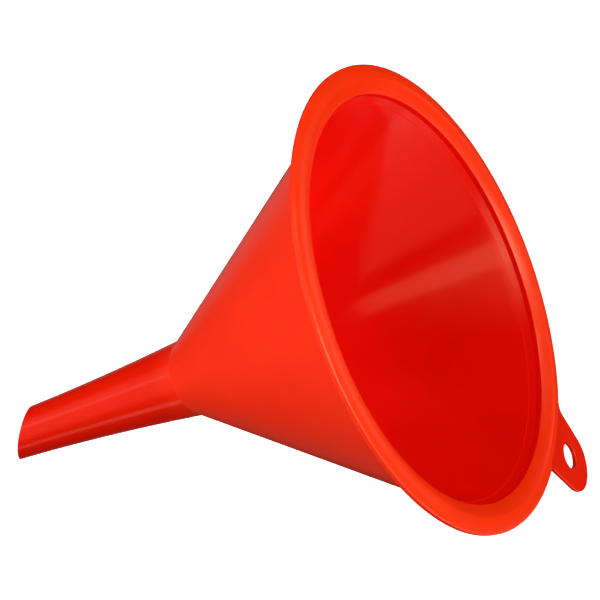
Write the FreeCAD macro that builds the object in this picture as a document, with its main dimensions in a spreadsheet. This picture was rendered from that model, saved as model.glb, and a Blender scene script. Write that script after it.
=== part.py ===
import FreeCAD, Part
import os
import Sketcher

# A moulded plastic funnel with its mouth up.
# Z is the axis of the bowl and the spout, pointing out of the mouth.
# Z = 0 is the crease where the conical bowl meets the spout.
# The hang tab and the long point of the slanted spout tip both lie towards +X.
# Every radius is measured from Z and every level along Z, in millimetres.

SIZES = {
    # rim flange: a thin ring with a domed top and an arched underside
    "rim_outer_radius": 80.0,
    "mouth_radius": 70.1,
    "flange_bottom": 108.2,
    "flange_outer_top": 110.0,
    "flange_inner_top": 108.2,
    "flange_crest": 111.0,
    "crest_inner_radius": 74.6,
    "crest_outer_radius": 75.5,
    "dome_inner_bend": 16.0,
    "dome_outer_bend": 10.625,
    "flange_root_radius": 72.92,
    "arch_outer_radius": 79.0,
    "arch_bend": 8.0,
    "flange_edge_round": 0.6,
    "crest_round": 1.5,
    "mouth_edge_round": 0.3,
    # rim collar: the band of wall just below the mouth
    "collar_bottom": 104.0,
    "collar_lip": 106.3,
    "collar_top_radius": 71.91,
    "collar_bore_radius": 68.6,
    # conical bowl
    "bowl_top_radius": 70.68,
    "bowl_top_bore_radius": 68.3,
    "bowl_ledge_round": 0.2,
    "throat_top": 1.5,
    "throat_top_radius": 13.52,
    # spout: a tapered tube whose wall curves gently, cut off at a slant
    "junction_level": 0.0,
    "spout_root_radius": 15.2,
    "spout_root_bore_radius": 13.4,
    "spout_blank_end": -112.0,
    "spout_end_radius": 9.71,
    "spout_end_bore_radius": 8.21,
    "spout_bend": 1640.0,
    "tip_level": -97.2,
    "tip_cut_reach": 20.0,
    "tip_cut_rise": 20.0,
    "tip_cut_floor": -140.0,
    # hang tab: a flat plate flush with the flange, with one round hole
    "tab_bottom": 108.3,
    "tab_thickness": 1.6,
    "tab_heel_radius": 79.45,
    "tab_root_round": 1.0,
    "tab_shoulder_reach": 84.0,
    "tab_shoulder_half_width": 13.3,
    "tab_end_centre": 92.6,
    "tab_end_radius": 11.7,
    "tab_edge_round": 0.4,
    "hang_hole_centre": 90.0,
    "hang_hole_radius": 4.65,
}

SHEET = "Dimensions"


def make_sheet(doc):
    sheet = doc.addObject("Spreadsheet::Sheet", SHEET)
    sheet.set("A1", "name")
    sheet.set("B1", "millimetres")
    for row, (alias, number) in enumerate(SIZES.items(), start=2):
        sheet.set("A%d" % row, alias)
        sheet.set("B%d" % row, str(number))
        sheet.setAlias("B%d" % row, alias)
    doc.recompute()
    return sheet


def value(words):
    """The number that a sum or difference of named sizes stands for."""
    total = 0.0
    sign = 1.0
    for word in words.split():
        if word == "+":
            sign = 1.0
        elif word == "-":
            sign = -1.0
        else:
            total += sign * SIZES[word]
    return total


def formula(words):
    """The same sum, written as an expression on the sheet."""
    terms = []
    for word in words.split():
        terms.append(word if word in "+-" else "%s.%s" % (SHEET, word))
    text = " ".join(terms)
    return "0 " + text if text.startswith("-") else text


def new_body(doc, label):
    body = doc.addObject("PartDesign::Body", label)
    body.Label = label
    return body


def new_sketch(body, name, role):
    plane = [item for item in body.Origin.OriginFeatures if item.Role == role][0]
    sketch = body.newObject("Sketcher::SketchObject", name)
    sketch.AttachmentSupport = (plane, [""])
    sketch.MapMode = "FlatFace"
    return sketch


def bind(sketch, constraint, words):
    index = sketch.addConstraint(constraint)
    sketch.setExpression("Constraints[%d]" % index, formula(words))
    return index


def pin_point(sketch, curve, end, across, up):
    """Hold one end of a curve at two named distances from the sketch's origin."""
    bind(sketch, Sketcher.Constraint("DistanceX", -1, 1, curve, end, value(across)), across)
    bind(sketch, Sketcher.Constraint("DistanceY", -1, 1, curve, end, value(up)), up)


def bent_edge(start, end, radius, side):
    """A short arc between two points, bulging to the left (1) or right (-1) of the way."""
    chord = end - start
    middle = (start + end) * 0.5
    left = FreeCAD.Vector(-chord.y, chord.x, 0).normalize()
    rise = radius - (radius ** 2 - (chord.Length / 2) ** 2) ** 0.5
    return Part.Arc(start, middle + left * (rise * side), end)


def draw_profile(sketch, corners, bends=None):
    """A closed outline through named corners; bends turns some edges into arcs."""
    bends = bends or {}
    points = [FreeCAD.Vector(value(across), value(up), 0) for across, up in corners]
    count = len(points)
    ends = {}
    for index in range(count):
        start = points[index]
        end = points[(index + 1) % count]
        if index in bends:
            words, side = bends[index]
            arc = bent_edge(start, end, value(words), side)
            curve = sketch.addGeometry(arc, False)
            bind(sketch, Sketcher.Constraint("Radius", curve, value(words)), words)
            first = 1 if sketch.getPoint(curve, 1).distanceToPoint(start) < 1e-6 else 2
            ends[index] = (curve, first, 3 - first)
        else:
            curve = sketch.addGeometry(Part.LineSegment(start, end), False)
            ends[index] = (curve, 1, 2)
    for index in range(count):
        curve, first, last = ends[index]
        after, after_first, after_last = ends[(index + 1) % count]
        sketch.addConstraint(
            Sketcher.Constraint("Coincident", curve, last, after, after_first)
        )
        pin_point(sketch, curve, first, *corners[index])


def revolve(body, sketch, name):
    feature = body.newObject("PartDesign::Revolution", name)
    feature.Profile = sketch
    feature.ReferenceAxis = (sketch, ["V_Axis"])
    feature.Angle = 360.0
    sketch.Visibility = False
    return feature


def ring_edges(shape, radius, level):
    """Names of the circular edges about Z that have this radius and level."""
    found = []
    for number, edge in enumerate(shape.Edges, start=1):
        box = edge.BoundBox
        round_about_z = abs(box.XMax - radius) < 0.01 and abs(box.XMin + radius) < 0.01
        if round_about_z and abs(box.ZMin - level) < 0.01 and abs(box.ZMax - level) < 0.01:
            found.append("Edge%d" % number)
    return found


def round_edges(body, base, name, edges, alias):
    fillet = body.newObject("PartDesign::Fillet", name)
    fillet.Base = (base, edges)
    fillet.Radius = SIZES[alias]
    fillet.setExpression("Radius", formula(alias))
    return fillet


def make_rim_flange(doc):
    """The thin ring round the mouth, its top sloping down to both edges from a narrow crest."""
    body = new_body(doc, "rim_flange")
    sketch = new_sketch(body, "flange_section", "XZ_Plane")
    draw_profile(
        sketch,
        [
            ("mouth_radius", "collar_lip"),
            ("mouth_radius", "flange_inner_top"),
            ("crest_inner_radius", "flange_crest"),
            ("crest_outer_radius", "flange_crest"),
            ("rim_outer_radius", "flange_outer_top"),
            ("rim_outer_radius", "flange_bottom"),
            ("arch_outer_radius", "flange_bottom"),
            ("flange_root_radius", "flange_bottom"),
            ("collar_top_radius", "collar_lip"),
        ],
        {1: ("dome_inner_bend", 1), 3: ("dome_outer_bend", 1), 6: ("arch_bend", -1)},
    )
    ring = revolve(body, sketch, "flange_ring")
    doc.recompute()
    outer = ring_edges(ring.Shape, SIZES["rim_outer_radius"], SIZES["flange_outer_top"])
    outer += ring_edges(ring.Shape, SIZES["rim_outer_radius"], SIZES["flange_bottom"])
    rounded = round_edges(body, ring, "flange_edge", outer, "flange_edge_round")
    doc.recompute()
    inner = ring_edges(rounded.Shape, SIZES["mouth_radius"], SIZES["flange_inner_top"])
    softened = round_edges(body, rounded, "mouth_edge", inner, "mouth_edge_round")
    doc.recompute()
    crest = ring_edges(softened.Shape, SIZES["crest_inner_radius"], SIZES["flange_crest"])
    round_edges(body, softened, "crest_edge", crest, "crest_round")
    doc.recompute()
    return body


def make_rim_collar(doc):
    """The short band of wall between the flange and a fine ledge at the top of the bowl."""
    body = new_body(doc, "rim_collar")
    sketch = new_sketch(body, "collar_section", "XZ_Plane")
    draw_profile(
        sketch,
        [
            ("collar_bore_radius", "collar_bottom"),
            ("mouth_radius", "collar_lip"),
            ("collar_top_radius", "collar_lip"),
            ("bowl_top_radius", "collar_bottom"),
        ],
    )
    revolve(body, sketch, "collar_band")
    doc.recompute()
    return body


def make_bowl_cone(doc):
    """The straight conical wall, with a fine ledge at its top."""
    body = new_body(doc, "bowl_cone")
    sketch = new_sketch(body, "bowl_section", "XZ_Plane")
    draw_profile(
        sketch,
        [
            ("spout_root_bore_radius", "junction_level"),
            ("throat_top_radius", "throat_top"),
            ("bowl_top_bore_radius", "collar_bottom"),
            ("bowl_top_radius", "collar_bottom"),
            ("spout_root_radius", "junction_level"),
        ],
    )
    wall = revolve(body, sketch, "bowl_wall")
    doc.recompute()
    ledge = ring_edges(wall.Shape, SIZES["bowl_top_bore_radius"], SIZES["collar_bottom"])
    round_edges(body, wall, "bowl_ledge", ledge, "bowl_ledge_round")
    doc.recompute()
    return body


def make_spout(doc):
    """The tapered tube, flaring a little towards the bowl and cut off at 45 degrees."""
    body = new_body(doc, "spout")
    sketch = new_sketch(body, "spout_section", "XZ_Plane")
    draw_profile(
        sketch,
        [
            ("spout_root_bore_radius", "junction_level"),
            ("spout_root_radius", "junction_level"),
            ("spout_end_radius", "spout_blank_end"),
            ("spout_end_bore_radius", "spout_blank_end"),
        ],
        {1: ("spout_bend", -1), 3: ("spout_bend", 1)},
    )
    tube = revolve(body, sketch, "spout_tube")
    doc.recompute()
    whole = tube.Shape.Volume
    slant = new_sketch(body, "tip_slant", "XZ_Plane")
    draw_profile(
        slant,
        [
            ("- tip_cut_reach", "tip_level + tip_cut_rise"),
            ("tip_cut_reach", "tip_level - tip_cut_rise"),
            ("tip_cut_reach", "tip_cut_floor"),
            ("- tip_cut_reach", "tip_cut_floor"),
        ],
    )
    cut = body.newObject("PartDesign::Pocket", "tip_cut")
    cut.Profile = slant
    cut.Type = "ThroughAll"
    cut.Midplane = True
    slant.Visibility = False
    doc.recompute()
    if not 0.80 * whole < cut.Shape.Volume < 0.96 * whole:
        raise RuntimeError("the slanted cut missed the spout")
    return body


def draw_tab_outline(sketch):
    """A plate with leaning sides, a round end and small hollow corners at the rim."""
    reach = SIZES["tab_shoulder_reach"]
    half = SIZES["tab_shoulder_half_width"]
    heel = SIZES["tab_heel_radius"]
    root = SIZES["tab_root_round"]
    centre = SIZES["tab_end_centre"]
    end = SIZES["tab_end_radius"]
    vector = FreeCAD.Vector

    # The leaning side runs from a point beside the shoulder to the round end.
    run = ((centre - reach) ** 2 + half ** 2 - end ** 2) ** 0.5
    far = ((centre - reach) ** 2 + half ** 2) ** 0.5
    along_x = (run * (centre - reach) + end * half) / far ** 2
    along_y = (end * (centre - reach) - run * half) / far ** 2
    side = vector(along_x, along_y, 0)
    shoulder = vector(reach, half, 0)
    touch = shoulder + side * run

    # The hollow corner touches the side's line and the heel circle.
    normal = vector(-side.y, side.x, 0)
    base = shoulder + normal * root
    dot = base.dot(side)
    gap = base.dot(base) - (heel + root) ** 2
    hollow = base + side * (-dot + (dot ** 2 - gap) ** 0.5)
    foot = hollow - normal * root
    heel_end = hollow * (heel / (heel + root))

    def mirrored(point):
        return vector(point.x, -point.y, 0)

    def bow(centre_point, radius, toward):
        return centre_point + toward.normalize() * radius

    upper_mid = bow(hollow, root, (foot + heel_end) * 0.5 - hollow)
    heel_arc = sketch.addGeometry(
        Part.Arc(mirrored(heel_end), vector(heel, 0, 0), heel_end), False
    )
    upper_root = sketch.addGeometry(Part.Arc(heel_end, upper_mid, foot), False)
    upper_side = sketch.addGeometry(Part.LineSegment(foot, touch), False)
    end_arc = sketch.addGeometry(
        Part.Arc(mirrored(touch), vector(centre + end, 0, 0), touch), False
    )
    lower_side = sketch.addGeometry(
        Part.LineSegment(mirrored(foot), mirrored(touch)), False
    )
    lower_root = sketch.addGeometry(
        Part.Arc(mirrored(heel_end), mirrored(upper_mid), mirrored(foot)), False
    )

    def end_at(curve, point):
        near = sketch.getPoint(curve, 1).distanceToPoint(point)
        return 1 if near < 1e-6 else 2

    def smooth(first, second, point):
        sketch.addConstraint(
            Sketcher.Constraint(
                "Tangent", first, end_at(first, point), second, end_at(second, point)
            )
        )

    smooth(heel_arc, upper_root, heel_end)
    smooth(upper_root, upper_side, foot)
    smooth(upper_side, end_arc, touch)
    smooth(heel_arc, lower_root, mirrored(heel_end))
    smooth(lower_root, lower_side, mirrored(foot))
    smooth(lower_side, end_arc, mirrored(touch))
    sketch.addConstraint(Sketcher.Constraint("Coincident", heel_arc, 3, -1, 1))
    sketch.addConstraint(Sketcher.Constraint("PointOnObject", end_arc, 3, -1))
    bind(sketch, Sketcher.Constraint("Radius", heel_arc, heel), "tab_heel_radius")
    bind(sketch, Sketcher.Constraint("Radius", upper_root, root), "tab_root_round")
    bind(sketch, Sketcher.Constraint("Radius", lower_root, root), "tab_root_round")
    bind(sketch, Sketcher.Constraint("Radius", end_arc, end), "tab_end_radius")
    bind(
        sketch,
        Sketcher.Constraint("DistanceX", -1, 1, end_arc, 3, centre),
        "tab_end_centre",
    )
    # A construction point on each side line sets how wide the shoulders stand.
    for line, sign, words in (
        (upper_side, 1, "tab_shoulder_half_width"),
        (lower_side, -1, "- tab_shoulder_half_width"),
    ):
        spot = sketch.addGeometry(Part.Point(vector(reach, sign * half, 0)), True)
        sketch.addConstraint(Sketcher.Constraint("PointOnObject", spot, 1, line))
        pin_point(sketch, spot, 1, "tab_shoulder_reach", words)


def make_hang_tab(doc, flange):
    """The flat tab outside the rim, with the round hole that the funnel hangs by."""
    blank = new_body(doc, "tab_blank")
    sketch = new_sketch(blank, "tab_outline", "XY_Plane")
    sketch.setExpression("AttachmentOffset.Base.z", formula("tab_bottom"))
    draw_tab_outline(sketch)
    plate = blank.newObject("PartDesign::Pad", "tab_plate")
    plate.Profile = sketch
    plate.Length = SIZES["tab_thickness"]
    plate.setExpression("Length", formula("tab_thickness"))
    sketch.Visibility = False
    doc.recompute()
    outline = []
    for number, edge in enumerate(plate.Shape.Edges, start=1):
        box = edge.BoundBox
        level = box.ZMax - box.ZMin < 0.01
        if level and box.XMax > SIZES["rim_outer_radius"] + 0.2:
            outline.append("Edge%d" % number)
    rounded = round_edges(blank, plate, "tab_edge", outline, "tab_edge_round")
    doc.recompute()
    solid = rounded.Shape.Volume

    ring = new_sketch(blank, "hole_outline", "XY_Plane")
    ring.setExpression("AttachmentOffset.Base.z", formula("tab_bottom"))
    centre = FreeCAD.Vector(SIZES["hang_hole_centre"], 0, 0)
    circle = ring.addGeometry(
        Part.Circle(centre, FreeCAD.Vector(0, 0, 1), SIZES["hang_hole_radius"]), False
    )
    ring.addConstraint(Sketcher.Constraint("PointOnObject", circle, 3, -1))
    bind(
        ring,
        Sketcher.Constraint("DistanceX", -1, 1, circle, 3, SIZES["hang_hole_centre"]),
        "hang_hole_centre",
    )
    bind(
        ring,
        Sketcher.Constraint("Radius", circle, SIZES["hang_hole_radius"]),
        "hang_hole_radius",
    )
    hole = blank.newObject("PartDesign::Pocket", "hang_hole")
    hole.Profile = ring
    hole.Type = "ThroughAll"
    hole.Midplane = True
    ring.Visibility = False
    doc.recompute()
    if not hole.Shape.Volume < solid - 50.0:
        raise RuntimeError("the hole missed the tab")

    # The heel of the plate is cut back to the rounded edge of the flange.
    tab = doc.addObject("Part::Cut", "hang_tab")
    tab.Label = "hang_tab"
    tab.Base = blank
    tab.Tool = flange
    doc.recompute()
    return tab


def check(doc, parts):
    for item in doc.Objects:
        if "Invalid" in item.State or "Error" in item.State:
            raise RuntimeError("%s failed: %s" % (item.Name, item.State))
    for part in parts:
        shape = part.Shape
        if shape.isNull() or not shape.isValid() or len(shape.Solids) != 1:
            raise RuntimeError("%s is not one valid solid" % part.Label)


def main():
    doc = FreeCAD.newDocument("funnel")
    make_sheet(doc)
    flange = make_rim_flange(doc)
    parts = [
        flange,
        make_rim_collar(doc),
        make_bowl_cone(doc),
        make_spout(doc),
        make_hang_tab(doc, flange),
    ]
    doc.recompute()
    check(doc, parts)
    os.makedirs("parts", exist_ok=True)
    for part in parts:
        part.Shape.exportStep("parts/%s.step" % part.Label)
        box = part.Shape.BoundBox
        print(
            "%-12s volume %9.1f  x %7.2f %7.2f  z %7.2f %7.2f"
            % (part.Label, part.Shape.Volume, box.XMin, box.XMax, box.ZMin, box.ZMax)
        )


main()
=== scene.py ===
import math
import bmesh
import bpy
from mathutils import Matrix, Vector


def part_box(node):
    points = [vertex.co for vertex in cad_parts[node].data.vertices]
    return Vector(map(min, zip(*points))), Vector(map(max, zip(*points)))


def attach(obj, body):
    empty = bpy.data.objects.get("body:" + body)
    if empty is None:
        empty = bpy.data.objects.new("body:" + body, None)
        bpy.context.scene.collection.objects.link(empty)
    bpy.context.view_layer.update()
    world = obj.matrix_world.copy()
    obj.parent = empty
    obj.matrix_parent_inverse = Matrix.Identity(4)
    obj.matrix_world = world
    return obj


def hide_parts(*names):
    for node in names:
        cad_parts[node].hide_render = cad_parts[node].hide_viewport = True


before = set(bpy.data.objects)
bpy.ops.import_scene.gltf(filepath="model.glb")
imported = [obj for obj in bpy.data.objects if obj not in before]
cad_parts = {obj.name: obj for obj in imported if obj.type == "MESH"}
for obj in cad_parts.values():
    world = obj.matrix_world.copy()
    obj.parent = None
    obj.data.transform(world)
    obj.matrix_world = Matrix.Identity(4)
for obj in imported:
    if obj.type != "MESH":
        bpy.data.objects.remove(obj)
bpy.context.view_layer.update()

MM = 0.001
TURNS = 288  # faces round every ring of the mesh

# Sizes of the moulding in millimetres, the same as the CAD model's.
RIM_RADIUS = 80.0
MOUTH_RADIUS = 70.1
FLANGE_BOTTOM = 108.2
CREST = 111.0
MOUTH_TOP = 108.2
CREST_IN, CREST_OUT = 74.6, 75.5  # where the rim's two domes reach the crest
DOME_IN, DOME_OUT = 16.0, 10.625  # bend radii of the domes
FLANGE_ROUND, MOUTH_ROUND, CREST_ROUND = 0.6, 0.3, 1.5
FLANGE_ROOT, ARCH_OUT, ARCH_BEND = 72.92, 79.0, 8.0  # the arched underside of the rim
COLLAR_BOTTOM, COLLAR_LIP, COLLAR_BORE, COLLAR_TOP = 104.0, 106.3, 68.6, 71.91
BOWL_TOP, BOWL_BORE, LEDGE_ROUND = 70.68, 68.3, 0.2
THROAT_TOP, THROAT_RADIUS = 1.5, 13.52
SPOUT_ROOT, SPOUT_BORE = 15.2, 13.4
SPOUT_END, SPOUT_END_BORE, SPOUT_BLANK = 9.71, 8.21, -112.0  # before the tip is cut off
SPOUT_BEND = 1640.0  # bend radius of the spout's wall, seen from the side
TIP_LEVEL = -97.2  # where the slanted cut crosses the axis
TAB_BOTTOM, TAB_TOP = 108.3, 109.9
TAB_SHOULDER, TAB_HALF = 84.0, 13.3
TAB_CENTRE, TAB_END = 92.6, 11.7
TAB_ROOT_ROUND, TAB_EDGE_ROUND = 1.0, 0.45
HOLE_CENTRE, HOLE_RADIUS, HOLE_ROUND = 90.0, 4.65, 0.25
HEEL = 77.7  # the tab's inner end, under the surface of the flange

# How the tab leaves the flange, in millimetres.
TAB_HEEL_DEPTH = 0.55  # from the rim's edge in to where the tab's plan outline starts
TAB_CLEAR = 79.5  # beyond this radius the tab is clear of the flange's wall
TAB_TUCK = 0.9  # rise of the lower face per millimetre inside that radius
TAB_SINK = 0.0006  # the upper face starts this far under the dome
TAB_PARTED = HEEL + 1.2  # the radius where the upper face has left the dome
TAB_LEVEL = 83.0  # the radius where the upper face is flat
TAB_BEND = 0.12  # how fast its slope changes as it leaves

# Which faces of a wall take which material.
FACES_AXIS = -0.45  # a face looks inwards if its normal points outwards by less than this
FACES_DOWN = -0.2  # a face looks down if its normal rises by less than this
WALL_SLOPE = 0.53  # radius gained per height along the middle of the wall
SKIN = 0.05  # a face this near a wall's radius belongs to that wall

SPOUT_ROWS = 48
CUT_ROUNDS = 12  # enough for the level of the slanted cut to settle
HOLE_STEPS, EDGE_STEPS = 3, 5  # steps round the tab's rounded edges
UNDER_ROWS, UPPER_ROWS = 12, 20  # rows across the tab's lower and upper face

# Where the spout's root colour fades in, in millimetres of height, and how much it dulls.
# The root colour eases the spout's painted shade towards the crease.
ROOT_FROM, ROOT_TO, ROOT_DULLING = -14, 3, 0.05
RUB_SHARE = 0.35  # weight of the rub marks beside that of the cloudy patches

FLOOR_GLOW = 1.0
LAMP_DISTANCE, LAMP_SIZE = 3.0, 1.3  # metres
LAMP_AIM = Vector((0, 0, 0.05))
WHITE = (1.0, 1.0, 1.0, 1.0)


# ---------------------------------------------------------------- outlines
# Points are (radius, level), or (x, y) for the tab. The last number is a count of steps.


def line(start, end, steps=1):
    """Points from start towards end, without the end."""
    across, rise = end[0] - start[0], end[1] - start[1]
    return [
        (start[0] + across * k / steps, start[1] + rise * k / steps) for k in range(steps)
    ]


def arc(centre, radius, start, end, steps):
    """Points on an arc from one angle to another, in degrees, with both ends."""
    points = []
    for k in range(steps + 1):
        a = math.radians(start + (end - start) * k / steps)
        across, rise = radius * math.cos(a), radius * math.sin(a)
        points.append((centre[0] + across, centre[1] + rise))
    return points


def angle_of(centre, point):
    """The direction from centre to point, in degrees."""
    return math.degrees(math.atan2(point[1] - centre[1], point[0] - centre[0]))


def flange_outline():
    """Section of the rim flange, from the foot of its inner face to the arch below.

    The inner dome rises from the mouth to the crest, and the outer dome falls to the edge.
    """
    chord = Vector((CREST_IN - MOUTH_RADIUS, CREST - MOUTH_TOP))
    below = Vector((chord.y, -chord.x)).normalized()
    sink = math.sqrt(DOME_IN ** 2 - (chord.length / 2) ** 2)
    inner_dome = Vector((MOUTH_RADIUS, MOUTH_TOP)) + chord / 2 + below * sink
    across = MOUTH_RADIUS + MOUTH_ROUND
    lift = math.sqrt((DOME_IN - MOUTH_ROUND) ** 2 - (inner_dome.x - across) ** 2)
    mouth = (across, inner_dome.y + lift)
    meets = angle_of(inner_dome, mouth)
    rise = CREST - CREST_ROUND - inner_dome.y
    back = math.sqrt((DOME_IN - CREST_ROUND) ** 2 - rise ** 2)
    crest = (inner_dome.x - back, CREST - CREST_ROUND)
    eases = angle_of(inner_dome, crest)

    outer_dome = (CREST_OUT, CREST - DOME_OUT)
    reach = DOME_OUT - FLANGE_ROUND
    across = RIM_RADIUS - FLANGE_ROUND
    lift = math.sqrt(reach ** 2 - (across - CREST_OUT) ** 2)
    edge = (across, outer_dome[1] + lift)
    turns = angle_of(outer_dome, edge)

    foot = (across, FLANGE_BOTTOM + FLANGE_ROUND)
    half = (ARCH_OUT - FLANGE_ROOT) / 2
    drop = math.sqrt(ARCH_BEND ** 2 - half ** 2)
    arch = (FLANGE_ROOT + half, FLANGE_BOTTOM - drop)
    arch_side = angle_of(arch, (ARCH_OUT, FLANGE_BOTTOM))

    points = line((MOUTH_RADIUS, COLLAR_LIP), (MOUTH_RADIUS, mouth[1]), 3)
    points += arc(mouth, MOUTH_ROUND, 180, meets, 8)
    points += arc(inner_dome, DOME_IN, meets, eases, 10)[1:]
    points += arc(crest, CREST_ROUND, eases, 90, 5)[1:]
    points += arc(outer_dome, DOME_OUT, 90, turns, 14)
    points += arc(edge, FLANGE_ROUND, turns, 0, 7)[1:]
    points += arc(foot, FLANGE_ROUND, 0, -90, 7)
    points += arc(arch, ARCH_BEND, arch_side, 180 - arch_side, 12)
    points += line((FLANGE_ROOT, FLANGE_BOTTOM), (COLLAR_TOP, COLLAR_LIP), 2)[1:]
    return points + [(COLLAR_TOP, COLLAR_LIP)]


def collar_outline():
    """Section of the band of wall between the flange and the ledge."""
    points = line((COLLAR_BORE, COLLAR_BOTTOM), (MOUTH_RADIUS, COLLAR_LIP), 4)
    points += line((MOUTH_RADIUS, COLLAR_LIP), (COLLAR_TOP, COLLAR_LIP))
    points += line((COLLAR_TOP, COLLAR_LIP), (BOWL_TOP, COLLAR_BOTTOM), 4)
    return points + [(BOWL_TOP, COLLAR_BOTTOM)]


def bowl_outline():
    """Section of the conical wall, with the rounded ledge at its top."""
    lean = (BOWL_BORE - THROAT_RADIUS) / (COLLAR_BOTTOM - THROAT_TOP)
    across = BOWL_BORE - lean * LEDGE_ROUND + LEDGE_ROUND * math.sqrt(1 + lean ** 2)
    ledge = (across, COLLAR_BOTTOM - LEDGE_ROUND)
    faces = 180 - math.degrees(math.atan(lean))
    points = line((SPOUT_ROOT, 0.0), (BOWL_TOP, COLLAR_BOTTOM), 40)
    points += line((BOWL_TOP, COLLAR_BOTTOM), (across, COLLAR_BOTTOM))
    points += arc(ledge, LEDGE_ROUND, 90, faces, 5)
    points += line(points[-1], (THROAT_RADIUS, THROAT_TOP), 40)[1:]
    points += line((THROAT_RADIUS, THROAT_TOP), (SPOUT_BORE, 0.0), 2)
    return points + [(SPOUT_BORE, 0.0)]


# ---------------------------------------------------------------- meshes


def inner_side(middle, normal):
    """1 for the faces of a wall that look towards the funnel's axis, else 0."""
    away = Vector((middle.x, middle.y, 0)).normalized()
    return int(normal.dot(away) < FACES_AXIS)


def bowl_side(middle, normal):
    """1 for the inner half of the bowl's or the collar's wall, else 0."""
    radius = math.hypot(middle.x, middle.y) / MM
    above = middle.z / MM - COLLAR_BOTTOM
    half_way = (BOWL_TOP + COLLAR_BORE) / 2 + above * WALL_SLOPE
    return int(radius < half_way)


def flange_side(middle, normal):
    """1 for the step below the mouth, 2 for the rim's outer face and underside, else 0."""
    radius = math.hypot(middle.x, middle.y) / MM
    if radius < MOUTH_RADIUS + SKIN:
        return 1
    return 2 if normal.z < FACES_DOWN or radius > RIM_RADIUS - SKIN else 0


def build(name, bm, materials, side=None, crease=28.0):
    """Make an object of a mesh, smooth except across edges sharper than crease degrees.

    side, if given, takes a face's middle and normal and gives its material's number.
    """
    bmesh.ops.recalc_face_normals(bm, faces=bm.faces)
    limit = math.radians(crease)
    for face in bm.faces:
        face.smooth = True
        if side is not None:
            face.material_index = side(face.calc_center_median(), face.normal)
    for edge in bm.edges:
        edge.smooth = len(edge.link_faces) == 2 and edge.calc_face_angle(0.0) < limit
    mesh = bpy.data.meshes.new(name)
    bm.to_mesh(mesh)
    bm.free()
    piece = bpy.data.objects.new(name, mesh)
    bpy.context.scene.collection.objects.link(piece)
    for material in materials:
        mesh.materials.append(material)
    return piece


def new_vertex(bm, x, y, level):
    """A vertex at a place given in millimetres."""
    return bm.verts.new(Vector((x, y, level)) * MM)


def ring_vertices(bm, radius, level):
    """A level ring of vertices round the axis."""
    ring = []
    for k in range(TURNS):
        a = 2 * math.pi * k / TURNS
        ring.append(new_vertex(bm, radius * math.cos(a), radius * math.sin(a), level))
    return ring


def bridge(bm, first, second):
    """A band of faces between two rings with as many vertices."""
    count = len(first)
    for k in range(count):
        after = (k + 1) % count
        bm.faces.new((first[k], first[after], second[after], second[k]))


def bridge_all(bm, rings):
    """Bands of faces from each ring to the next, and from the last back to the first."""
    for k in range(len(rings)):
        bridge(bm, rings[k], rings[(k + 1) % len(rings)])


def lathe(outline):
    """A closed ring of material with this section."""
    bm = bmesh.new()
    bridge_all(bm, [ring_vertices(bm, radius, level) for radius, level in outline])
    return bm


def spout_wall(root, end):
    """A function for the radius, at any level, of a gently curved wall below the crease."""
    chord = Vector((end - root, SPOUT_BLANK, 0))
    side = Vector((-chord.y, chord.x, 0)).normalized()
    away = math.sqrt(SPOUT_BEND ** 2 - (chord.length / 2) ** 2)
    centre = Vector((root, 0, 0)) + chord / 2 + side * away

    def radius(level):
        return centre.x - math.sqrt(SPOUT_BEND ** 2 - (level - centre.y) ** 2)

    return radius


def slant_ring(bm, radius, share):
    """A ring of the spout's wall, a share of the way from the crease to the cut.

    The cut slants at 45 degrees: it drops as far as it moves towards +X.
    """
    ring = []
    for k in range(TURNS):
        a = 2 * math.pi * k / TURNS
        low = TIP_LEVEL
        for _ in range(CUT_ROUNDS):
            low = TIP_LEVEL - radius(low) * math.cos(a)
        level = low * share
        r = radius(level)
        ring.append(new_vertex(bm, r * math.cos(a), r * math.sin(a), level))
    return ring


def spout_mesh():
    """The tapered tube, from the crease to the slanted tip. The tip's edges are sharp."""
    bm = bmesh.new()
    outer = spout_wall(SPOUT_ROOT, SPOUT_END)
    inner = spout_wall(SPOUT_BORE, SPOUT_END_BORE)
    shares = [k / SPOUT_ROWS for k in range(SPOUT_ROWS + 1)]
    outside = [slant_ring(bm, outer, share) for share in shares]
    inside = [slant_ring(bm, inner, share) for share in reversed(shares)]
    bridge_all(bm, outside + inside)
    return bm


def tab_outline():
    """The tab's edge in plan, from one end of its heel round to the other.

    A straight side runs from the shoulder to touch the round end, and a small hollow
    radius joins it to the rim.
    """
    ahead = TAB_CENTRE - TAB_SHOULDER
    far = ahead ** 2 + TAB_HALF ** 2
    run = math.sqrt(ahead ** 2 + TAB_HALF ** 2 - TAB_END ** 2)
    side = Vector(
        (
            (run * ahead + TAB_END * TAB_HALF) / far,
            (TAB_END * ahead - run * TAB_HALF) / far,
        )
    )
    shoulder = Vector((TAB_SHOULDER, TAB_HALF))
    touch = shoulder + side * run
    normal = Vector((-side.y, side.x))
    base = shoulder + normal * TAB_ROOT_ROUND
    heel = RIM_RADIUS - TAB_HEEL_DEPTH
    dot = base.dot(side)
    gap = base.dot(base) - (heel + TAB_ROOT_ROUND) ** 2
    hollow = base + side * (-dot + math.sqrt(dot ** 2 - gap))
    foot = hollow - normal * TAB_ROOT_ROUND
    heel_end = hollow * (heel / (heel + TAB_ROOT_ROUND))

    upper = arc(
        hollow, TAB_ROOT_ROUND, angle_of(hollow, heel_end), angle_of(hollow, foot), 10
    )
    upper += line(tuple(foot), tuple(touch), 10)[1:]
    turn = angle_of((TAB_CENTRE, 0), touch)
    rounded = arc((TAB_CENTRE, 0), TAB_END, turn, -turn, 72)
    lower = [(x, -y) for x, y in reversed(upper)]
    return upper + rounded + lower


def flange_top(radius):
    """The level of the flange's dome beyond its crest."""
    return CREST - DOME_OUT + math.sqrt(DOME_OUT ** 2 - (radius - CREST_OUT) ** 2)


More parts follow.
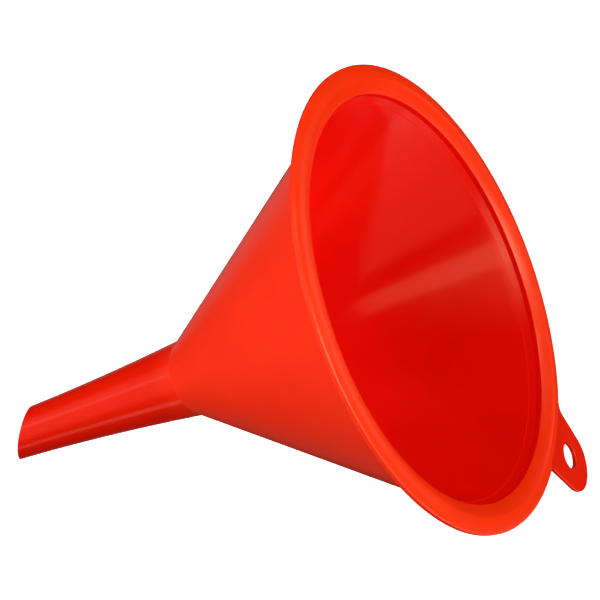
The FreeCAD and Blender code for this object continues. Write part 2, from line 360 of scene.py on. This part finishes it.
def tab_top(radius):
    """The tab's upper face: it parts from the dome without a crease, then levels out."""
    if radius >= TAB_LEVEL:
        return TAB_TOP
    if radius <= TAB_PARTED:
        bent = TAB_BEND / 2 * max(0.0, radius - HEEL) ** 2
        return flange_top(radius) - TAB_SINK + bent
    # A cubic from the height and slope where it parted to the flat face.
    high = flange_top(TAB_PARTED) + TAB_BEND / 2 * (TAB_PARTED - HEEL) ** 2
    past_crest = TAB_PARTED - CREST_OUT
    dome_slope = past_crest / math.sqrt(DOME_OUT ** 2 - past_crest ** 2)
    slope = TAB_BEND * (TAB_PARTED - HEEL) - dome_slope
    length = TAB_LEVEL - TAB_PARTED
    share = (radius - TAB_PARTED) / length
    keep = 2 * share ** 3 - 3 * share ** 2 + 1
    lean = share ** 3 - 2 * share ** 2 + share
    return keep * high + lean * length * slope + (1 - keep) * TAB_TOP


def tab_bottom(radius):
    """The tab's lower face, which stays inside the flange's wall under the heel."""
    return TAB_BOTTOM + TAB_TUCK * max(0.0, TAB_CLEAR - radius)


def tab_mesh():
    """A plate with rounded edges; its heel runs in under the surface of the flange."""
    edge = [Vector(p) for p in tab_outline()]
    axis = Vector((0, 0))
    heel = arc(axis, HEEL, angle_of(axis, edge[-1]), angle_of(axis, edge[0]), 60)
    loop = edge + [Vector(p) for p in heel]
    centre = Vector((HOLE_CENTRE, 0))
    bm = bmesh.new()

    # How far each point of the outline moves inwards where the edge is rounded.
    inward = []
    for k, point in enumerate(loop):
        if k >= len(edge):
            inward.append(Vector((0, 0)))
            continue
        along = edge[min(k + 1, len(edge) - 1)] - edge[max(k - 1, 0)]
        way = Vector((along.y, -along.x)).normalized()
        if way.dot(centre - point) < 0:
            way = -way
        inward.append(way * TAB_EDGE_ROUND * min(1.0, max(0.0, point.length - TAB_CLEAR)))

    def row(points, level, offset=lambda k: 0.0):
        """A ring of vertices on a face of the tab, point k moved up by offset(k)."""
        ring = []
        for k, point in enumerate(points):
            height = level(point.length) + offset(k)
            ring.append(new_vertex(bm, point.x, point.y, height))
        return ring

    def round_hole(radius):
        """A circle about the hole's middle, one point towards each of the outline's."""
        return [centre + (point - centre).normalized() * radius for point in loop]

    def rounded_edge(turn):
        """The outline pulled in, for a turn from 0, the flat face, to 1, the side."""
        share = 1 - math.sin(math.pi / 2 * turn)
        return [point + way * share for point, way in zip(loop, inward)]

    def drop(turn):
        """How far each point of the outline lies from the flat face at that turn."""
        share = 1 - math.cos(math.pi / 2 * turn)
        return lambda k: inward[k].length * share

    def hole_drop(turn):
        """How far the hole's rounded edge lies from the face, from all of it to none."""
        return HOLE_ROUND * (1 - math.sin(math.pi / 2 * turn))

    def hole_reach(turn):
        """The radius of the hole's rounded edge at that turn."""
        return HOLE_RADIUS + HOLE_ROUND * (1 - math.cos(math.pi / 2 * turn))

    flat_edge = rounded_edge(0)
    hole_edge = round_hole(HOLE_RADIUS + HOLE_ROUND)

    def across_face(share):
        """Points a share of the way from the hole's edge to the outline."""
        return [a.lerp(b, share) for a, b in zip(hole_edge, flat_edge)]

    hole_turns = [k / HOLE_STEPS for k in range(HOLE_STEPS + 1)]
    edge_turns = [k / EDGE_STEPS for k in range(EDGE_STEPS + 1)]
    rings = []
    # Out along the lower face, up round the edge, and back along the upper face.
    for turn in hole_turns:
        rise = hole_drop(turn)
        rings.append(row(round_hole(hole_reach(turn)), tab_bottom, lambda _: rise))
    for k in range(1, UNDER_ROWS):
        rings.append(row(across_face(k / UNDER_ROWS), tab_bottom))
    for turn in edge_turns:
        rings.append(row(rounded_edge(turn), tab_bottom, drop(turn)))
    for turn in reversed(edge_turns):
        sink = drop(turn)
        rings.append(row(rounded_edge(turn), tab_top, lambda k: -sink(k)))
    for k in range(UPPER_ROWS - 1, 0, -1):
        rings.append(row(across_face(k / UPPER_ROWS), tab_top))
    for turn in reversed(hole_turns):
        fall = hole_drop(turn)
        rings.append(row(round_hole(hole_reach(turn)), tab_top, lambda _: -fall))
    bridge_all(bm, rings)
    bmesh.ops.remove_doubles(bm, verts=bm.verts, dist=1e-7)
    return bm


# ---------------------------------------------------------------- materials


def node(tree, kind, **inputs):
    """Add a shader node. A keyword such as From_Min sets its input "From Min"."""
    item = tree.nodes.new(kind)
    for key, setting in inputs.items():
        item.inputs[key.replace("_", " ")].default_value = setting
    return item


def multiply_add(tree, source, factor, base):
    """The socket source times a factor, plus the socket base."""
    item = tree.nodes.new("ShaderNodeMath")
    item.operation = "MULTIPLY_ADD"
    item.inputs[1].default_value = factor
    tree.links.new(source, item.inputs[0])
    tree.links.new(base, item.inputs[2])
    return item.outputs["Value"]


def moulded_plastic(name, red, green, blue, shine=0.16, dull=0.27, gloss=0.8, root=None):
    """Glossy moulded polyethylene: clean red, with a faint flow pattern and orange peel.

    shine and dull are the least and the most roughness, and gloss is the strength of the
    reflections. root, if given, is the colour that the plastic takes near the crease, where
    the painted shade of the tube eases to a lighter red.
    """
    material = bpy.data.materials.new(name)
    material.use_nodes = True
    tree = material.node_tree
    link = tree.links.new
    shader = tree.nodes["Principled BSDF"]
    shader.inputs["IOR"].default_value = 1.45
    shader.inputs["Specular IOR Level"].default_value = gloss
    # The tint warms the highlights towards orange, to match the photo.
    shader.inputs["Specular Tint"].default_value = (1.0, 0.62, 0.36, 1.0)
    place = tree.nodes.new("ShaderNodeTexCoord")

    # Colour drifts a little where the plastic flowed through the mould.
    flow_map = node(tree, "ShaderNodeMapping", Scale=(1.0, 1.0, 0.25))
    flow = node(tree, "ShaderNodeTexNoise", Scale=38.0, Detail=3.0, Roughness=0.55)
    tint = tree.nodes.new("ShaderNodeValToRGB")
    tint.color_ramp.elements[0].position = 0.32
    tint.color_ramp.elements[0].color = (red * 0.975, green * 0.90, blue, 1.0)
    tint.color_ramp.elements[1].position = 0.70
    tint.color_ramp.elements[1].color = (red * 1.02, green * 1.08, blue, 1.0)
    link(place.outputs["Object"], flow_map.inputs["Vector"])
    link(flow_map.outputs["Vector"], flow.inputs["Vector"])
    link(flow.outputs["Fac"], tint.inputs["Fac"])
    colour = tint.outputs["Color"]
    if root:
        # Towards the crease the tube takes the root colour, where its painted shade eases,
        # and loses a little shine.
        split = tree.nodes.new("ShaderNodeSeparateXYZ")
        near = node(
            tree, "ShaderNodeMapRange", From_Min=ROOT_FROM * MM, From_Max=ROOT_TO * MM
        )
        near.interpolation_type = "SMOOTHSTEP"
        melt = tree.nodes.new("ShaderNodeMix")
        melt.data_type = "RGBA"
        melt.inputs["B"].default_value = (*root, 1.0)
        link(place.outputs["Object"], split.inputs["Vector"])
        link(split.outputs["Z"], near.inputs["Value"])
        link(near.outputs["Result"], melt.inputs["Factor"])
        link(colour, melt.inputs["A"])
        colour = melt.outputs["Result"]
    link(colour, shader.inputs["Base Color"])

    # The polish varies: fine cloudy patches and faint rub marks from handling.
    cloud = node(tree, "ShaderNodeTexNoise", Scale=120.0, Detail=4.0, Roughness=0.6)
    rub_map = node(
        tree, "ShaderNodeMapping", Rotation=(0.4, 0.2, 0.9), Scale=(1.0, 14.0, 1.0)
    )
    rub = node(tree, "ShaderNodeTexNoise", Scale=260.0, Detail=2.0, Roughness=0.5)
    polish = node(
        tree, "ShaderNodeMapRange", From_Min=0.45, From_Max=0.95, To_Min=shine, To_Max=dull
    )
    link(place.outputs["Object"], cloud.inputs["Vector"])
    link(place.outputs["Object"], rub_map.inputs["Vector"])
    link(rub_map.outputs["Vector"], rub.inputs["Vector"])
    worn = multiply_add(tree, rub.outputs["Fac"], RUB_SHARE, cloud.outputs["Fac"])
    link(worn, polish.inputs["Value"])
    roughness = polish.outputs["Result"]
    if root:
        roughness = multiply_add(tree, near.outputs["Result"], ROOT_DULLING, roughness)
    link(roughness, shader.inputs["Roughness"])

    # Orange peel and a slow waviness of the moulded wall.
    peel = node(tree, "ShaderNodeTexNoise", Scale=420.0, Detail=2.0, Roughness=0.5)
    wave = node(tree, "ShaderNodeTexNoise", Scale=45.0, Detail=1.0, Roughness=0.4)
    fine = node(tree, "ShaderNodeBump", Strength=0.10, Distance=0.00012)
    slow = node(tree, "ShaderNodeBump", Strength=0.22, Distance=0.0006)
    link(place.outputs["Object"], peel.inputs["Vector"])
    link(place.outputs["Object"], wave.inputs["Vector"])
    link(wave.outputs["Fac"], slow.inputs["Height"])
    link(peel.outputs["Fac"], fine.inputs["Height"])
    link(slow.outputs["Normal"], fine.inputs["Normal"])
    link(fine.outputs["Normal"], shader.inputs["Normal"])
    return material


def floor_material():
    """A matt white that glows, so that the floor shows as the photo's white ground."""
    material = bpy.data.materials.new("pale_floor")
    material.use_nodes = True
    tree = material.node_tree
    shader = tree.nodes["Principled BSDF"]
    grain = node(tree, "ShaderNodeTexNoise", Scale=3.0, Detail=2.0)
    pale = tree.nodes.new("ShaderNodeValToRGB")
    pale.color_ramp.elements[0].color = (0.90, 0.90, 0.90, 1.0)
    pale.color_ramp.elements[1].color = (0.93, 0.93, 0.93, 1.0)
    tree.links.new(grain.outputs["Fac"], pale.inputs["Fac"])
    tree.links.new(pale.outputs["Color"], shader.inputs["Base Color"])
    shader.inputs["Roughness"].default_value = 0.9
    shader.inputs["Specular IOR Level"].default_value = 0.0
    shader.inputs["Emission Color"].default_value = WHITE
    shader.inputs["Emission Strength"].default_value = FLOOR_GLOW
    return material


# ---------------------------------------------------------------- light and camera


def direction(azimuth, elevation):
    """The unit vector for an azimuth and an elevation in degrees."""
    a, e = math.radians(azimuth), math.radians(elevation)
    return Vector((math.cos(a) * math.cos(e), math.sin(a) * math.cos(e), math.sin(e)))


def softbox(name, azimuth, elevation, power):
    """A soft lamp in a direction from the funnel, aimed back at it, with power in watts."""
    lamp = bpy.data.lights.new(name, "AREA")
    lamp.shape = "RECTANGLE"
    lamp.size = LAMP_SIZE
    lamp.size_y = LAMP_SIZE
    lamp.energy = power
    item = bpy.data.objects.new(name, lamp)
    item.location = LAMP_AIM + direction(azimuth, elevation) * LAMP_DISTANCE
    item.rotation_euler = (LAMP_AIM - item.location).to_track_quat("-Z", "Y").to_euler()
    item.visible_camera = False
    item.visible_glossy = False
    bpy.context.scene.collection.objects.link(item)


def studio_world(cards):
    """White to the camera, and black with glowing cards in reflections.

    A card is a patch of sky: the azimuth and height of its middle, its half width and half
    height, how wide the soft edge is at its sides and at its top and bottom, and its glow.
    All but the glow are in degrees.
    """
    world = bpy.data.worlds.new("studio")
    bpy.context.scene.world = world
    world.use_nodes = True
    world.cycles_visibility.diffuse = False
    tree = world.node_tree
    tree.nodes.clear()
    output = tree.nodes.new("ShaderNodeOutputWorld")
    place = tree.nodes.new("ShaderNodeTexCoord")
    split = tree.nodes.new("ShaderNodeSeparateXYZ")
    tree.links.new(place.outputs["Generated"], split.inputs["Vector"])

    def math_node(operation, a, b=None, clamp=False):
        """A maths node on one or two inputs, each a socket or a plain number."""
        item = tree.nodes.new("ShaderNodeMath")
        item.operation = operation
        item.use_clamp = clamp
        for slot, source in ((0, a), (1, b)):
            if source is None:
                continue
            if isinstance(source, (int, float)):
                item.inputs[slot].default_value = source
            else:
                tree.links.new(source, item.inputs[slot])
        return item.outputs["Value"]

    def fade(angle, half, soft):
        """1 inside the half angle, falling to 0 across the soft edge."""
        edge = math.radians(soft)
        inner = math_node("SUBTRACT", math.radians(half) + edge / 2, angle)
        return math_node("DIVIDE", inner, edge, clamp=True)

    elevation = math_node("ARCSINE", split.outputs["Z"])
    total = None
    for azimuth, height, half_wide, half_high, soft_wide, soft_high, glow in cards:
        # How far a direction is turned and raised from the middle of the card.
        a = math.radians(azimuth)
        ahead = math_node(
            "ADD",
            math_node("MULTIPLY", split.outputs["X"], math.cos(a)),
            math_node("MULTIPLY", split.outputs["Y"], math.sin(a)),
        )
        aside = math_node(
            "SUBTRACT",
            math_node("MULTIPLY", split.outputs["Y"], math.cos(a)),
            math_node("MULTIPLY", split.outputs["X"], math.sin(a)),
        )
        turn = math_node("ABSOLUTE", math_node("ARCTAN2", aside, ahead))
        rise = math_node("ABSOLUTE", math_node("SUBTRACT", elevation, math.radians(height)))
        wide = fade(turn, half_wide, soft_wide)
        high = fade(rise, half_high, soft_high)
        card = math_node("MULTIPLY", math_node("MULTIPLY", wide, high), glow)
        total = card if total is None else math_node("ADD", total, card)
    glowing = node(tree, "ShaderNodeBackground", Color=WHITE)
    tree.links.new(total, glowing.inputs["Strength"])
    plain = node(tree, "ShaderNodeBackground", Color=WHITE, Strength=1.0)
    path = tree.nodes.new("ShaderNodeLightPath")
    mix = tree.nodes.new("ShaderNodeMixShader")
    tree.links.new(path.outputs["Is Camera Ray"], mix.inputs["Fac"])
    tree.links.new(glowing.outputs["Background"], mix.inputs[1])
    tree.links.new(plain.outputs["Background"], mix.inputs[2])
    tree.links.new(mix.outputs["Shader"], output.inputs["Surface"])


def make_camera():
    """The camera stands close, above the mouth, rolled so that the funnel lies down."""
    place = Vector((-0.21628, -0.28356, 0.28783))
    azimuth, elevation, roll_degrees = 54.856, -33.069, 70.12
    lens = bpy.data.cameras.new("camera")
    lens.sensor_width = 36.0
    lens.lens = 72.0
    lens.clip_start = 0.01
    camera = bpy.data.objects.new("camera", lens)
    ahead = direction(azimuth, elevation)
    right = ahead.cross(Vector((0, 0, 1))).normalized()
    up = right.cross(ahead)
    roll = math.radians(roll_degrees)
    across = right * math.cos(roll) + up * math.sin(roll)
    upward = up * math.cos(roll) - right * math.sin(roll)
    turn = Matrix((across, upward, -ahead)).transposed()
    camera.matrix_world = Matrix.Translation(place) @ turn.to_4x4()
    bpy.context.scene.collection.objects.link(camera)
    bpy.context.scene.camera = camera


bpy.context.scene.view_settings.view_transform = "Standard"
make_camera()

# The parts take copies of the one red plastic that differ by painted light and shade.
# The inside is a deeper red with almost no green, as painted shade.
inside = moulded_plastic(
    "red_plastic_inside_painted_shade", 0.845, 0.0045, 0.001, shine=0.10, dull=0.19, gloss=0.25
)
outside = moulded_plastic("red_plastic_outside", 0.83, 0.028, 0.008)
# The rim's top is painted lighter and more orange: painted light.
rim = moulded_plastic("red_plastic_rim_painted_light", 0.97, 0.033, 0.003)
# The spout's tube is painted darker: painted shade, easing to the root colour near the
# crease.
neck = moulded_plastic(
    "red_plastic_neck_painted_shade",
    0.65,
    0.008,
    0.001,
    shine=0.12,
    dull=0.22,
    root=(0.71, 0.016, 0.004),
)
# The step below the mouth is painted lighter: painted light.
step = moulded_plastic("red_plastic_step_painted_light", 0.98, 0.005, 0.001)
# The hanging tab is painted darker: painted shade.
lug = moulded_plastic("red_plastic_lug_painted_shade", 0.80, 0.014, 0.002)
# Each piece's side function picks, face by face, between these lit and shaded copies.
pieces = {
    "rim_flange": build(
        "flange_ring", lathe(flange_outline()), [rim, step, outside], flange_side
    ),
    "rim_collar": build(
        "collar_band", lathe(collar_outline()), [outside, inside], bowl_side
    ),
    "bowl_cone": build("bowl_wall", lathe(bowl_outline()), [outside, inside], bowl_side),
    "spout": build("spout_tube", spout_mesh(), [neck, inside], inner_side),
    "hang_tab": build("hanging_tab", tab_mesh(), [lug]),
}
for cad_node, piece in pieces.items():
    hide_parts(cad_node)
    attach(piece, "root")

# The floor lies just under the spout's tip. It glows, so the funnel's shadow doesn't show
# on it, and it neither shows in the plastic's reflections nor throws light on it.
ground = bmesh.new()
bmesh.ops.create_grid(ground, x_segments=12, y_segments=12, size=6.0)
floor = build("floor", ground, [floor_material()])
floor.location = (0, 0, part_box("spout")[0][2] - 0.0005)
floor.visible_glossy = False
floor.visible_diffuse = False
floor.visible_shadow = False
floor.visible_transmission = False

# Soft lamps light the plastic. They are left out of its reflections.
# Each has a name, an azimuth and an elevation in degrees, and its power in watts.
for name, azimuth, elevation, power in (
    ("key_lamp", -144, -12, 32),
    ("key_lamp_left", -171, -12, 36),
    ("key_lamp_right", -112, -12, 38),
    ("front_lamp", -112, 6, 22),
    ("front_lamp_left", 172, 6, 15),
    ("low_lamp", -160, -36, 9),
    ("tab_lamp", -13, 36, 30),
    ("upper_lamp_right", -30, 60, 18),
    ("upper_lamp_left", 120, 60, 14),
    ("ceiling_lamp", 0, 90, 49),
    ("back_lamp", 53, -14, 34),
    ("back_lamp_left", 100, -12, 24),
    ("back_lamp_right", 6, -12, 24),
):
    softbox(name, azimuth, elevation, power)

# Pale cards round the funnel are seen only as reflections in its gloss.
studio_world(
    [
        # in the bowl: the streak, and the soft glow round it
        (-115.5, 33, 8, 9, 3, 8, 3.2),
        (-128, 38, 22, 6, 34, 8, 2.5),
        # in the collar
        (-100, 46, 32, 4, 36, 6, 7.0),
        # in the bowl: the wide band, its tail, and the bowl's upper left
        (-47, 20, 42, 14, 8, 12, 1.15),
        (4, 20, 16, 14, 30, 12, 0.25),
        (5, 4, 22, 10, 10, 8, 0.35),
        # on the rim: the far flank, the near left edge, and the top of the near side
        (-100, 66, 40, 19, 48, 24, 5.6),
        (165, 56, 16, 12, 14, 10, 4.0),
        (53, 51, 22, 11, 20, 20, 0.9),
        # on the spout: a narrow streak, the soft glow round it, and a second streak
        (-158, -48, 4, 14, 7, 8, 0.55),
        (-144, -48, 42, 14, 24, 8, 0.30),
        (-66, -45, 7, 5, 5, 3, 0.8),
        # along the two edges of the cone
        (80, -47, 15, 12, 20, 10, 0.15),
        (20, -50, 15, 12, 20, 10, 0.04),
        # on the back, which the photo doesn't show
        (53, -14, 30, 12, 20, 10, 0.4),
    ]
)
